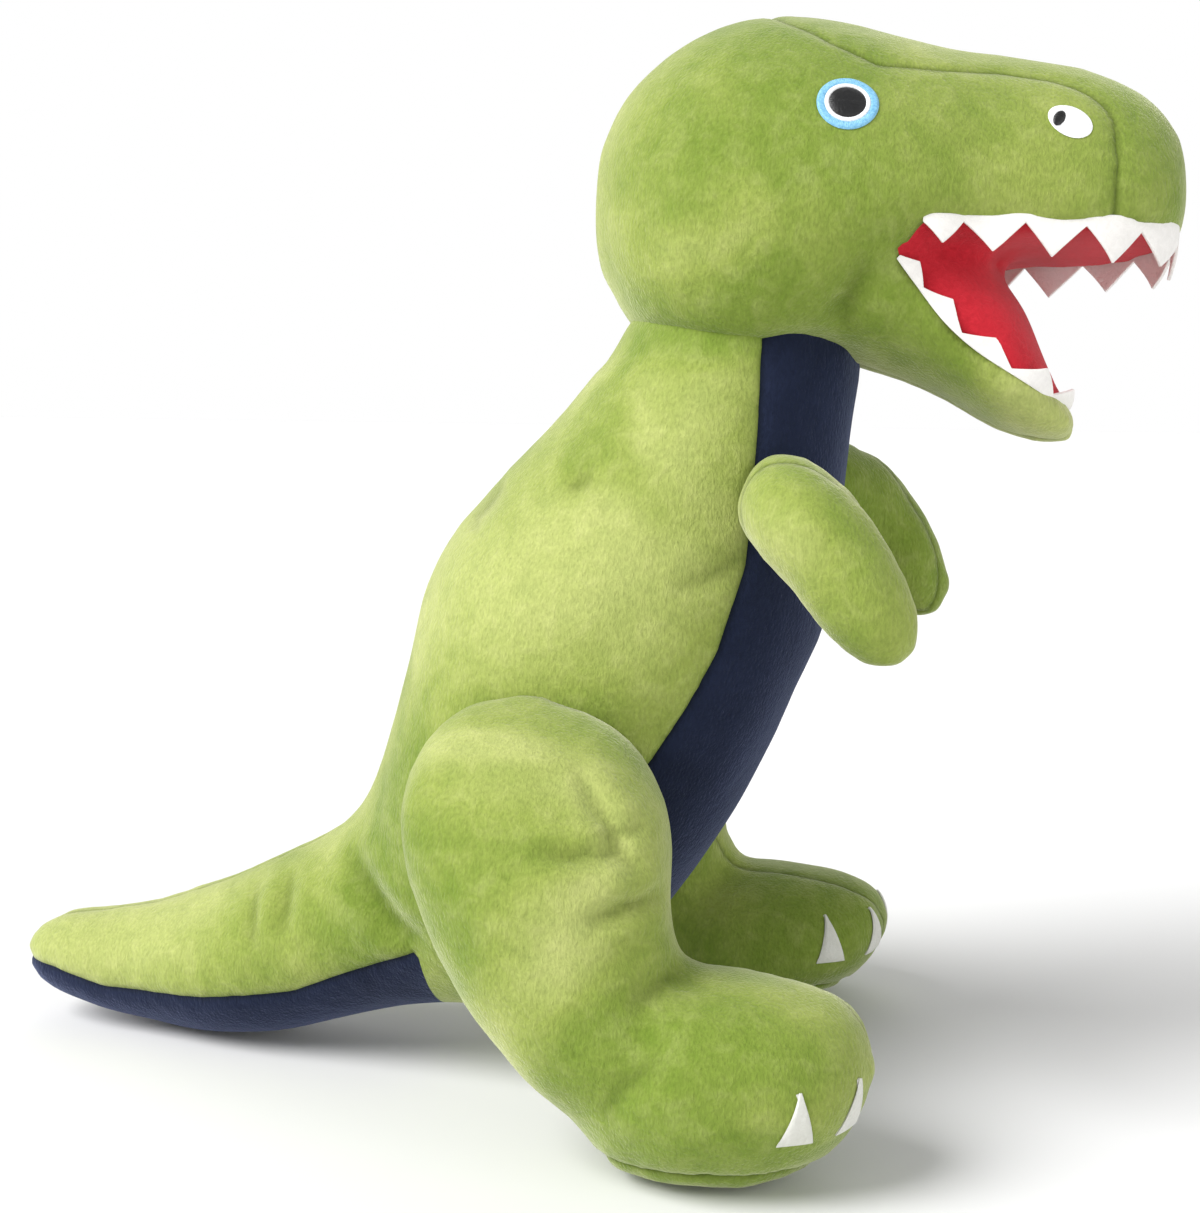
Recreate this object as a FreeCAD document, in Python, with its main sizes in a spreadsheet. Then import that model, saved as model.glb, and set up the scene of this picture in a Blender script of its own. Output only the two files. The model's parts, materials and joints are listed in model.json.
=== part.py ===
import FreeCAD, Part
import os
from math import atan2, cos, degrees, radians, sin

# Stuffed tyrannosaur, standing on its soles.  Millimetres, +X forward, +Z up, the toy's right side is -Y.
# The origin is on the ground, under the middle of the toy's length and width.
# Every stuffed volume is a loft through elliptical sections.  A fabric panel is the skin between the
# outer loft and the same loft made one fabric thickness smaller, and the filling lies inside both.

X_AXIS = FreeCAD.Vector(1, 0, 0)
Y_AXIS = FreeCAD.Vector(0, 1, 0)
Z_AXIS = FreeCAD.Vector(0, 0, 1)
SIDES = (("right", -1), ("left", 1))
REACH = 400
TOOL_DEPTH = 20

# Single driving dimensions.
SIZES = {
    "fabric_thickness": 1.5,
    "felt_thickness": 1.2,
    "stitch_height": 0.7,
    "filling_gap": 0.15,
    "layer_gap": 0.05,
    "joint_gap": 0.5,
    "tail_gap": 2.2,
    "neck_x": 61,
    "neck_z": 232,
    "neck_pitch": 9,
    "head_roll": -11,
    "hinge_x": 110,
    "hinge_z": 263,
    "palate_rise": 2,
    "jaw_slope": 41.3,
    "jaw_clearance": 5,
    "gusset_half_width": 29,
    "gusset_back_x": 65,
    "teeth_center_x": 126,
    "teeth_length": 62,
    "teeth_half_width": 33,
    "tooth_height": 10.5,
    "tooth_base": 15.5,
    "tooth_band": 2.5,
    "lip_drop": 12,
    "lower_teeth_center": 38,
    "eye_x": 92.5,
    "eye_y": 46,
    "eye_z": 297,
    "eye_radius": 9,
    "eye_white_radius": 6.6,
    "eye_pupil_radius": 5.5,
    "eye_lean": 24,
    "nostril_x": 155.5,
    "nostril_y": 32,
    "nostril_z": 296,
    "nostril_length": 13,
    "nostril_height": 9.5,
    "nostril_lean": 25,
    "arm_inner_y": 47.5,
    "arm_middle_y": 62,
    "leg_inner_y": 63.5,
    "leg_middle_y": 85.5,
    "sole_thickness": 2,
    "claw_height": 18,
    "claw_base": 12,
    "claw_z": 20,
    "claw_center_x": 73,
    "foot_y": 86,
    "tail_swing": -5,
    "tail_pivot_x": -13,
    "left_leg_shift": -7,
    "left_arm_shift": 3,
}

# Sections of each loft: centre x, y and z, half size along the section's own forward axis, half size
# across, and the pitch of the section's plane, in degrees (0 is level, 90 faces forward), and its roll.
FIELDS = ("x", "y", "z", "depth", "width", "pitch", "roll")
SECTIONS = {
    "torso": (
        (61, 0, 232, 35, 37, 9, -11),
        (49, 1, 211, 44, 45, 14, -5),
        (41, 0, 188, 51.5, 52, 20, 0),
        (20, 0, 149, 61, 62, 22, 0),
        (5.5, 0, 112, 58.5, 61.5, 20, 0),
        (-9, 0, 79, 54.5, 57, 15, 0),
        (-17, 0, 50, 43, 48, 10, 0),
        (-20, 0, 30, 26, 34, 5, 0),
        (-21, 0, 21, 10, 14, 5, 0),
    ),
    "tail": (
        (-35, 0, 52, 36, 42, 90, 0),
        (-63, 0, 46.5, 37.5, 40, 90, 0),
        (-94, 0, 34.5, 32, 34, 90, 0),
        (-129, 0, 25, 25.3, 27, 90, 0),
        (-165, 0, 22, 18.5, 20, 90, 0),
        (-185, 0, 22.5, 13.5, 15, 90, 0),
        (-194, 0, 22, 5.5, 6.5, 90, 0),
    ),
    "head": (
        (13, 0, 277, 20, 18, 90, 0),
        (20, 0, 278, 33, 30, 90, 0),
        (33, 0, 275, 49, 44, 90, 0),
        (55, 0, 274, 61, 53, 90, 0),
        (79, 0, 275, 61, 54, 90, 0),
        (108, 0, 274, 55, 50, 90, 0),
        (135, 0, 280, 44, 39.5, 90, 0),
        (162, 0, 280, 39, 34, 90, 0),
        (178, 0, 280, 31, 28, 90, 0),
        (187, 0, 280, 20, 19, 90, 0),
        (190, 0, 280, 8, 7.8, 90, 0),
    ),
    "arm": (
        (65, -57, 195, 8, 7, 106, 0),
        (70, -58, 194, 14.5, 13, 108, 0),
        (82, -61, 188, 17, 15, 120, 0),
        (95, -63, 175, 16.5, 15, 140, 0),
        (106, -64, 158, 13.5, 12.5, 152, 0),
        (111.5, -64, 145.5, 6.5, 6, 155, 0),
    ),
    "shank": (
        (44, -86, 12, 16, 13, 0, 0),
        (34.5, -86, 28, 28, 24, 0, 0),
        (22, -86, 52, 34.5, 28, 0, 0),
        (13.5, -86, 75, 37.5, 28, 0, 0),
        (10, -85, 98, 40.5, 27, 0, 0),
        (6, -84, 118, 35, 21, 0, 0),
        (3, -82, 130, 20, 12, 0, 0),
        (3, -81, 134, 7, 4, 0, 0),
    ),
    "foot": (
        (26, -85, 24, 12, 13, 90, 0),
        (35, -85, 27, 26, 27, 90, 0),
        (49, -85, 28, 32, 33, 90, 0),
        (63, -85, 29, 33, 34.5, 90, 0),
        (79, -85, 30, 30, 32.5, 90, 0),
        (93, -85, 32, 25, 27.5, 90, 0),
        (104, -85, 35, 15, 17, 90, 0),
        (109, -85, 35, 5, 6, 90, 0),
    ),
}
# The lower jaw's sections stand along its own slope: distance ahead of the hinge, distance below the line
# of that slope, half depth and half width.  The lips lie at the widest points of these sections.
JAW_SECTIONS = ((0, 20, 19.5, 40), (15, 12.5, 22, 37), (30, 8.5, 20.5, 34.5), (45, 9.5, 16, 31), (60, 10.5, 10, 25),
                (69, 9, 6.5, 16), (73, 8, 3.5, 9))
# These lofts are taller than wide, so their ellipses have the long axis along the section's depth.
TALL_LOFTS = ("head", "arm", "shank")

# Seams, in side view: the belly panel lies in front of its seam, the navy tail panel below its own.
BELLY_SEAM = ((69, 260), (68, 206), (66, 172), (58, 146), (49, 129), (25, 92), (33, 40), (173, 40), (173, 260))
TAIL_SEAM = ((-17, 50), (-35, 46), (-54, 37), (-82, 25), (-119, 19), (-158, 17), (-179, 21), (-217, 22),
             (-217, -40), (-17, -40))
CLAW_BEARINGS = (-55, -20, 20, 55)
LOWER_TOOTH_BEARINGS = (-118, -90, -62, -22, 22, 62, 90, 118)

doc = FreeCAD.newDocument("StuffedDinosaur")
sheet = doc.addObject("Spreadsheet::Sheet", "Sizes")
nodes = []


def fill_sheet():
    """Write each driving dimension into its own cell, with its name as the alias."""
    values = dict(SIZES)
    slope = radians(SIZES["jaw_slope"])
    for family, rows in SECTIONS.items():
        for number, row in enumerate(rows, 1):
            for field, value in zip(FIELDS, row):
                values[f"{family}_{number}_{field}"] = value
    for number, (ahead, below, depth, width) in enumerate(JAW_SECTIONS, 1):
        x = SIZES["hinge_x"] + ahead * cos(slope) - below * sin(slope)
        z = SIZES["hinge_z"] - ahead * sin(slope) - below * cos(slope)
        row = (x, 0, z, depth, width, 90 + SIZES["jaw_slope"], 0)
        for field, value in zip(FIELDS, row):
            values[f"jaw_{number}_{field}"] = value
    for line, (name, value) in enumerate(values.items(), 1):
        sheet.set(f"A{line}", name)
        sheet.set(f"B{line}", str(value))
        sheet.setAlias(f"B{line}", name)
    doc.recompute()


def size(name):
    """A driving dimension, read back from the sheet."""
    return float(sheet.get(name))


def made(kind, label, **properties):
    """Add one object and set its properties."""
    item = doc.addObject(kind, label)
    for name, value in properties.items():
        setattr(item, name, value)
    return item


def ellipse(family, number, growth):
    """One section of a loft, bound to the sheet; growth is a sheet expression added to both radii."""
    alias = f"Sizes.{family}_{number}_"
    tall = family in TALL_LOFTS
    item = made("Part::Ellipse", "Section")
    item.setExpression("MajorRadius", alias + ("depth" if tall else "width") + growth)
    item.setExpression("MinorRadius", alias + ("width" if tall else "depth") + growth)
    turn = FreeCAD.Rotation(X_AXIS, size(f"{family}_{number}_roll"))
    turn = turn * FreeCAD.Rotation(Y_AXIS, size(f"{family}_{number}_pitch"))
    if not tall:
        turn = turn * FreeCAD.Rotation(Z_AXIS, 90)
    item.Placement = FreeCAD.Placement(FreeCAD.Vector(), turn)
    item.setExpression("Placement.Base.x", alias + "x")
    item.setExpression("Placement.Base.y", alias + "y")
    item.setExpression("Placement.Base.z", alias + "z")
    return item


def loft(family, growth):
    """The stuffed volume through a family's sections, grown or shrunk by a sheet expression."""
    count = len(JAW_SECTIONS) if family == "jaw" else len(SECTIONS[family])
    rings = [ellipse(family, number, growth) for number in range(1, count + 1)]
    return made("Part::Loft", family.capitalize() + "Loft", Sections=rings, Solid=True, Ruled=False)


def common(first, second, label="Common"):
    return made("Part::Common", label, Base=first, Tool=second)


def cut(first, second, label="Cut"):
    return made("Part::Cut", label, Base=first, Tool=second)


def fuse(first, second, label="Fuse"):
    return made("Part::Fuse", label, Base=first, Tool=second)


def block(low, high):
    """A box between two corners."""
    item = made("Part::Box", "Block", Length=high[0] - low[0], Width=high[1] - low[1], Height=high[2] - low[2])
    item.Placement.Base = FreeCAD.Vector(*low)
    return item


def side_block(side, start_y):
    """Everything beyond a plane of constant y, on one side of the toy."""
    low_y, high_y = sorted((side * start_y, side * REACH))
    return block((-REACH, low_y, -REACH), (REACH, high_y, REACH))


def prism(outline):
    """A side-view outline run through the whole width of the toy."""
    points = [FreeCAD.Vector(x, -REACH / 2, z) for x, z in outline]
    line = made("Part::Polygon", "Outline", Nodes=points, Close=True)
    return made("Part::Extrusion", "Prism", Base=line, DirMode="Custom", Dir=Y_AXIS, LengthFwd=REACH, Solid=True)


def slab(x, z, pitch, low, high):
    """A plate between two heights, measured along the normal of a plane through x and z."""
    item = made("Part::Box", "Slab", Length=2 * REACH, Width=2 * REACH, Height=high - low)
    turn = FreeCAD.Rotation(Y_AXIS, pitch)
    item.Placement = FreeCAD.Placement(FreeCAD.Vector(x, 0, z) + turn.multVec(FreeCAD.Vector(-REACH, -REACH, low)),
                                       turn)
    return item


def node(item, label):
    """Name a finished sub-part; its label is also the name of its file."""
    item.Label = label
    nodes.append(item)
    return item


SKIN = ""
LINING = " - Sizes.fabric_thickness"
FILLING = " - Sizes.fabric_thickness - Sizes.filling_gap"
PATCH = " + Sizes.layer_gap"


def skin_of(family):
    """The fabric layer of one stuffed volume."""
    return cut(loft(family, SKIN), loft(family, LINING))


def build_torso():
    skin = skin_of("torso")
    belly = prism(BELLY_SEAM)
    node(common(skin, belly), "belly_panel")
    back = cut(skin, belly)
    for name, side in SIDES:
        node(common(back, side_block(side, 0)), f"body_side_panel_{name}")
    node(loft("torso", FILLING), "body_filling")


def swung(item):
    """Turn a straight tail's piece or tool to where the tail rests, a little to the toy's left."""
    pivot = FreeCAD.Vector(size("tail_pivot_x"), 0, 0)
    turn = FreeCAD.Placement(FreeCAD.Vector(), FreeCAD.Rotation(Z_AXIS, size("tail_swing")), pivot)
    item.Placement = turn * item.Placement
    return item


def build_tail():
    # The tail's root is hollowed to the rump, with room to wag, and its underside lies on the ground.
    rump = loft("torso", " + Sizes.tail_gap")
    above_ground = block((-REACH, -REACH, 0), (REACH, REACH, REACH))
    skin = common(cut(swung(skin_of("tail")), rump), above_ground)
    under = swung(prism(TAIL_SEAM))
    node(common(skin, under), "tail_under_panel")
    upper = cut(skin, under)
    for name, side in SIDES:
        node(common(upper, swung(side_block(side, 0))), f"tail_side_panel_{name}")
    node(cut(swung(loft("tail", FILLING)), rump), "tail_filling")


def mouth_space(margin):
    """The space that the open mouth takes out of the head, grown by a margin into the head."""
    rise = radians(size("palate_rise"))
    back = radians(90 + size("jaw_slope") + size("jaw_clearance"))
    corner_x = size("hinge_x") - margin
    corner_z = size("hinge_z") + margin
    front = (corner_x + REACH / 2 * cos(rise), corner_z + REACH / 2 * sin(rise))
    throat = (corner_x + REACH / 2 * cos(back), corner_z - REACH / 2 * sin(back))
    return prism(((corner_x, corner_z), front, (front[0], throat[1]), throat))


def tooth_row(center, half_length, half_width, start, bearings, flip):
    """A felt band bent round half an ellipse in the level plane, with a row of pointed teeth on it."""
    thickness = size("felt_thickness")
    band = size("tooth_band")
    walls = []
    for inset in (0, thickness):
        curve = made("Part::Ellipse", "BandCurve", MajorRadius=half_length - inset, MinorRadius=half_width - inset)
        walls.append(made("Part::Extrusion", "BandWall", Base=curve, DirMode="Custom", Dir=Z_AXIS,
                          LengthFwd=band, Solid=True))
    ring = cut(walls[0], walls[1])
    pieces = [common(ring, block((start, -REACH, -1), (REACH, REACH, band + 1)))]
    for bearing in bearings:
        angle = radians(bearing)
        normal = FreeCAD.Vector(cos(angle) * half_width, sin(angle) * half_length, 0)
        heading = degrees(atan2(normal.y, normal.x))
        middle = (half_length - thickness / 2) * cos(angle), (half_width - thickness / 2) * sin(angle)
        tooth = made("Part::Wedge", "Tooth", Xmin=0, Xmax=size("tooth_base"), Zmin=0, Zmax=thickness, Ymin=0,
                     Ymax=size("tooth_height"), X2min=size("tooth_base") / 2 - 0.4,
                     X2max=size("tooth_base") / 2 + 0.4, Z2min=0, Z2max=thickness)
        stand = FreeCAD.Rotation(Z_AXIS, heading + 90) * FreeCAD.Rotation(X_AXIS, 90)
        corner = stand.multVec(FreeCAD.Vector(size("tooth_base") / 2, 0, thickness / 2))
        tooth.Placement = FreeCAD.Placement(FreeCAD.Vector(*middle, band - 0.2) - corner, stand)
        pieces.append(tooth)
    row = made("Part::MultiFuse", "ToothRow", Shapes=pieces)
    return FreeCAD.Placement(center, flip), row


def head_placement():
    """The head leans to the toy's left about the middle of its neck seam."""
    pivot = FreeCAD.Vector(size("neck_x"), 0, size("neck_z"))
    return FreeCAD.Placement(FreeCAD.Vector(), FreeCAD.Rotation(X_AXIS, size("head_roll")), pivot)


def head_node(item, label):
    item.Placement = head_placement() * item.Placement
    return node(item, label)


def stand_outward(item, feature, side, along=0):
    """Stand a tool on the head at the eye or nostril, its own Z pointing to one side and up by its lean."""
    lean = radians(size(feature + "_lean"))
    outward = FreeCAD.Vector(0, side * cos(lean), sin(lean))
    spot = FreeCAD.Vector(size(feature + "_x") + along, side * size(feature + "_y"), size(feature + "_z"))
    item.Placement = FreeCAD.Placement(spot - outward * TOOL_DEPTH, FreeCAD.Rotation(Z_AXIS, outward))
    return item


def build_head():
    above_neck = slab(size("neck_x"), size("neck_z"), size("neck_pitch"), size("joint_gap"), REACH)
    skin = common(cut(skin_of("head"), mouth_space(0)), above_neck)
    half = size("gusset_half_width")
    gusset = block((size("gusset_back_x"), -half, size("hinge_z")), (REACH, half, REACH))
    head_node(common(skin, gusset), "head_top_gusset")
    sides = cut(skin, gusset)
    for name, side in SIDES:
        head_node(common(sides, side_block(side, 0)), f"head_side_panel_{name}")
    core = cut(loft("head", FILLING), mouth_space(size("felt_thickness") + size("filling_gap")))
    head_node(common(core, above_neck), "head_filling")
    rise = size("palate_rise")
    fold = cut(mouth_space(size("felt_thickness")), mouth_space(0))
    ahead = block((size("hinge_x") - size("felt_thickness"), -REACH, 0), (REACH, REACH, REACH))
    head_node(common(common(fold, ahead), loft("head", FILLING)), "mouth_lining_upper")
    center = FreeCAD.Vector(size("teeth_center_x"), 0, size("hinge_z"))
    center.z += (size("teeth_center_x") - size("hinge_x")) * sin(radians(rise)) - size("layer_gap")
    hang = FreeCAD.Rotation(Y_AXIS, -rise) * FreeCAD.Rotation(X_AXIS, 180)
    place, row = tooth_row(center, size("teeth_length"), size("teeth_half_width"), -16,
                           (-88, -62, -39, -14, 14, 39, 62, 88), hang)
    row.Placement = place
    head_node(row, "upper_teeth_strip")


def build_face():
    layer = cut(loft("head", PATCH + " + Sizes.stitch_height"), loft("head", PATCH))
    raised = cut(loft("head", PATCH + " + 2 * Sizes.stitch_height"),
                 loft("head", PATCH + " + Sizes.stitch_height + Sizes.layer_gap"))
    for name, side in SIDES:
        rods = []
        for radius in ("eye_radius", "eye_white_radius", "eye_pupil_radius"):
            rod = made("Part::Cylinder", "EyeRod", Radius=size(radius), Height=2 * TOOL_DEPTH)
            rods.append(stand_outward(rod, "eye", side))
        head_node(common(layer, cut(rods[0], rods[1])), f"eye_ring_{name}")
        head_node(common(layer, cut(rods[1], rods[2])), f"eye_white_{name}")
        head_node(common(layer, rods[2]), f"eye_pupil_{name}")
        patch = made("Part::Ellipsoid", "NostrilTool", Radius1=2 * TOOL_DEPTH, Radius2=size("nostril_length") / 2,
                     Radius3=size("nostril_height") / 2)
        head_node(common(layer, stand_outward(patch, "nostril", side)), f"nostril_patch_{name}")
        slit = made("Part::Ellipsoid", "SlitTool", Radius1=2 * TOOL_DEPTH, Radius2=1.4, Radius3=2.8)
        head_node(common(raised, stand_outward(slit, "nostril", side, -3)), f"nostril_slit_{name}")


def build_jaw():
    """A stuffed lower jaw: its red lining bulges up between the lips, its green panel covers the chin."""
    slope = size("jaw_slope")
    lip = -size("lip_drop")
    above = slab(size("hinge_x"), size("hinge_z"), slope, lip, REACH)
    head_node(cut(skin_of("jaw"), above), "chin_panel")
    felt = cut(loft("jaw", SKIN), loft("jaw", " - Sizes.felt_thickness"))
    head_node(common(felt, above), "mouth_lining_lower")
    head_node(loft("jaw", FILLING), "jaw_filling")
    layer = cut(loft("jaw", PATCH + " + Sizes.felt_thickness"), loft("jaw", PATCH))
    tools = [slab(size("hinge_x"), size("hinge_z"), slope, lip, lip + size("tooth_band"))]
    base = size("tooth_base")
    turn = FreeCAD.Rotation(Y_AXIS, slope)
    for bearing in LOWER_TOOTH_BEARINGS:
        tooth = made("Part::Wedge", "ToothTool", Xmin=0, Xmax=base, Zmin=0, Zmax=60, Ymin=0,
                     Ymax=size("tooth_height"), X2min=base / 2 - 0.4, X2max=base / 2 + 0.4, Z2min=0, Z2max=60)
        stand = turn * FreeCAD.Rotation(Z_AXIS, bearing + 90) * FreeCAD.Rotation(X_AXIS, 90)
        origin = FreeCAD.Vector(size("hinge_x"), 0, size("hinge_z"))
        origin += turn.multVec(FreeCAD.Vector(size("lower_teeth_center"), 0, lip + size("tooth_band") - 0.2))
        tooth.Placement = FreeCAD.Placement(origin - stand.multVec(FreeCAD.Vector(base / 2, 0, 0)), stand)
        tools.append(tooth)
    ahead = slab(size("hinge_x"), size("hinge_z"), 90 + slope, 6, REACH)
    row = common(layer, made("Part::MultiFuse", "ToothTools", Shapes=tools))
    head_node(common(row, ahead), "lower_teeth_strip")


def pair(item, label, left_shift=FreeCAD.Vector()):
    """Keep a limb's right piece and its mirror image on the left, which may stand a little elsewhere."""
    node(item, f"{label}_right")
    mirror = made("Part::Mirroring", "Mirror", Source=item, Normal=Y_AXIS)
    mirror.Placement = FreeCAD.Placement(left_shift, FreeCAD.Rotation())
    node(mirror, f"{label}_left")


def build_arms():
    outside = side_block(-1, size("arm_inner_y"))
    skin = common(skin_of("arm"), outside)
    outer = side_block(-1, size("arm_middle_y"))
    shift = FreeCAD.Vector(size("left_arm_shift"), 0, -size("left_arm_shift"))
    pair(common(skin, outer), "arm_outer_panel", shift)
    pair(cut(skin, outer), "arm_inner_panel", shift)
    pair(common(loft("arm", FILLING), outside), "arm_filling", shift)


def build_legs():
    thickness = size("sole_thickness")
    above_sole = block((-REACH, -REACH, thickness), (REACH, REACH, REACH))
    sole_layer = block((-REACH, -REACH, 0), (REACH, REACH, thickness))
    outside = side_block(-1, size("leg_inner_y"))
    whole = fuse(common(loft("shank", SKIN), outside), loft("foot", SKIN))
    hollow = fuse(common(loft("shank", LINING), outside), loft("foot", LINING))
    skin = common(cut(whole, hollow), above_sole)
    outer = side_block(-1, size("leg_middle_y"))
    shift = FreeCAD.Vector(size("left_leg_shift"), 0, 0)
    pair(common(skin, outer), "leg_outer_panel", shift)
    pair(cut(skin, outer), "leg_inner_panel", shift)
    pair(common(loft("foot", SKIN), sole_layer), "foot_sole", shift)
    core = fuse(common(loft("shank", FILLING), outside), loft("foot", FILLING))
    pair(common(core, above_sole), "leg_filling", shift)


def build_claws():
    """Felt triangles sewn round the toe, base down, points up."""
    layer = cut(loft("foot", PATCH + " + Sizes.felt_thickness"), loft("foot", PATCH))
    base = size("claw_base")
    wedges = []
    for bearing in CLAW_BEARINGS:
        wedge = made("Part::Wedge", "ClawTool", Xmin=0, Xmax=base, Zmin=0, Zmax=60, Ymin=0,
                     Ymax=size("claw_height"), X2min=base / 2 - 0.4, X2max=base / 2 + 0.4, Z2min=0, Z2max=60)
        turn = FreeCAD.Rotation(Z_AXIS, bearing + 90) * FreeCAD.Rotation(X_AXIS, 90)
        origin = FreeCAD.Vector(size("claw_center_x"), -size("foot_y"), size("claw_z"))
        wedge.Placement = FreeCAD.Placement(origin - turn.multVec(FreeCAD.Vector(base / 2, 0, 0)), turn)
        wedges.append(wedge)
    tools = made("Part::MultiFuse", "ClawTools", Shapes=wedges)
    pair(common(layer, tools), "toe_claws", FreeCAD.Vector(size("left_leg_shift"), 0, 0))


def check_and_write():
    """Stop on any failed object or broken solid, then write one file for each sub-part."""
    doc.recompute()
    for item in doc.Objects:
        if "Invalid" in item.State or "Error" in item.State:
            raise RuntimeError(f"{item.Label} failed: {item.State}")
    broken = [item.Label for item in nodes
              if item.Shape.isNull() or not item.Shape.isValid() or not item.Shape.Solids]
    if broken:
        raise RuntimeError(f"no valid solid in {broken}")
    os.makedirs("parts", exist_ok=True)
    for item in nodes:
        item.Shape.exportStep(f"parts/{item.Label}.step")
        box = item.Shape.BoundBox
        print(f"{item.Label:26s} solids {len(item.Shape.Solids)}  volume {item.Shape.Volume / 1000:8.2f} cm3  "
              f"x {box.XMin:7.1f} {box.XMax:7.1f}  y {box.YMin:7.1f} {box.YMax:7.1f}  "
              f"z {box.ZMin:6.1f} {box.ZMax:6.1f}")


fill_sheet()
build_torso()
build_tail()
build_head()
build_face()
build_jaw()
build_arms()
build_legs()
build_claws()
check_and_write()
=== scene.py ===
import bpy
import bmesh
import json
import numpy as np
from math import atan2, cos, exp, pi, radians, sin
from mathutils import Matrix, Vector, noise
from mathutils.bvhtree import BVHTree
from mathutils.kdtree import KDTree


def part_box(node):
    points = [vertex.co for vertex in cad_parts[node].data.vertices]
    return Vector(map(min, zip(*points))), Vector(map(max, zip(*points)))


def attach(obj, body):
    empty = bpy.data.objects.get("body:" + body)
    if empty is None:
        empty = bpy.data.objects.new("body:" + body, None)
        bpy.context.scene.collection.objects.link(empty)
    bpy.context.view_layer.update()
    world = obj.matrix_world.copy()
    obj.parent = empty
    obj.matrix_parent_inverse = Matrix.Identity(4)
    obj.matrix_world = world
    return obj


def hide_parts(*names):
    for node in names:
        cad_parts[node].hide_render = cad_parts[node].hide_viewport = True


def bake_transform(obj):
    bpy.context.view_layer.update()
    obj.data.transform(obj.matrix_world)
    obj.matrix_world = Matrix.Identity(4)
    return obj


# A stuffed tyrannosaur in short-pile plush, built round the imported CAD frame.  Metres, +X forward, +Z up.
# Each stuffed volume starts from its CAD filling: it is remeshed, puffed up by a cloth simulation that
# holds its seams, and then cut along those seams into the fabric panels that it is sewn from.

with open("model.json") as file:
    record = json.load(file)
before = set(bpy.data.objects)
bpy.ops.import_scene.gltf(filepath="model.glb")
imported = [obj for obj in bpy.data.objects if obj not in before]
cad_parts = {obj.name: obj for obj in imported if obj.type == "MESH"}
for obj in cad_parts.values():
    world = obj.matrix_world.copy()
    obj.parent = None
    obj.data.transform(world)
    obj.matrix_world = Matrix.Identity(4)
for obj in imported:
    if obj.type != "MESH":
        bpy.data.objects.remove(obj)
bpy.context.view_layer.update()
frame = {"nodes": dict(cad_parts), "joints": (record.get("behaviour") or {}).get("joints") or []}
NODES = frame["nodes"]
JOINTS = {joint["name"]: joint for joint in frame["joints"]}
SIDES = (("right", -1), ("left", 1))

VOXEL = 0.0042
FABRIC = 0.0013
FELT = 0.0011
EMBROIDERY = 0.0011
CLAW_FELT = 0.0016
FRAMES = 20
GREEN = "green_plush"
NAVY = "navy_plush"


# ---------------------------------------------------------------- node materials

def material(name, **values):
    """A Principled material; the values are set on the shader's own sockets."""
    made = bpy.data.materials.new(name)
    made.use_nodes = True
    shader = made.node_tree.nodes["Principled BSDF"]
    for socket, value in values.items():
        shader.inputs[socket.replace("_", " ")].default_value = value
    return made, made.node_tree, shader


def add(tree, kind, **settings):
    item = tree.nodes.new(kind)
    for name, value in settings.items():
        if name in item.inputs:
            item.inputs[name].default_value = value
        else:
            setattr(item, name, value)
    return item


def ramp(tree, source, stops):
    item = tree.nodes.new("ShaderNodeValToRGB")
    item.color_ramp.elements[0].position = stops[0][0]
    item.color_ramp.elements[0].color = (*stops[0][1], 1)
    item.color_ramp.elements[1].position = stops[-1][0]
    item.color_ramp.elements[1].color = (*stops[-1][1], 1)
    for position, colour in stops[1:-1]:
        item.color_ramp.elements.new(position).color = (*colour, 1)
    tree.links.new(source, item.inputs["Fac"])
    return item.outputs["Color"]


def textured(tree, kind, scale, coordinates, **settings):
    item = add(tree, kind, **settings)
    item.inputs["Scale"].default_value = scale
    tree.links.new(coordinates, item.inputs["Vector"])
    return item


def blend_colours(tree, first, second, share, mode="MIX"):
    item = tree.nodes.new("ShaderNodeMix")
    item.data_type = "RGBA"
    item.blend_type = mode
    tree.links.new(first, item.inputs["A"])
    tree.links.new(second, item.inputs["B"])
    if isinstance(share, (int, float)):
        item.inputs["Factor"].default_value = share
    else:
        tree.links.new(share, item.inputs["Factor"])
    return item.outputs["Result"]


def bumps(tree, shader, layers):
    """Chain bump nodes, each one (height socket, strength, distance)."""
    below = None
    for height, strength, distance in layers:
        item = add(tree, "ShaderNodeBump", Strength=strength, Distance=distance)
        tree.links.new(height, item.inputs["Height"])
        if below:
            tree.links.new(below, item.inputs["Normal"])
        below = item.outputs["Normal"]
    tree.links.new(below, shader.inputs["Normal"])


def between(tree, source, start, stop):
    """0 up to start, rising smoothly to 1 at stop; it falls when stop is the smaller one."""
    item = tree.nodes.new("ShaderNodeMapRange")
    item.interpolation_type = "SMOOTHSTEP"
    item.inputs["From Min"].default_value = min(start, stop)
    item.inputs["From Max"].default_value = max(start, stop)
    item.inputs["To Min"].default_value = 0.0 if start < stop else 1.0
    item.inputs["To Max"].default_value = 1.0 if start < stop else 0.0
    tree.links.new(source, item.inputs["Value"])
    return item.outputs["Result"]


def maths(tree, operation, first, second):
    item = add(tree, "ShaderNodeMath", operation=operation)
    for value, socket in ((first, item.inputs[0]), (second, item.inputs[1])):
        if isinstance(value, (int, float)):
            socket.default_value = value
        else:
            tree.links.new(value, socket)
    return item.outputs["Value"]


def product(tree, values):
    total = values[0]
    for value in values[1:]:
        total = maths(tree, "MULTIPLY", total, value)
    return total


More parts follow.
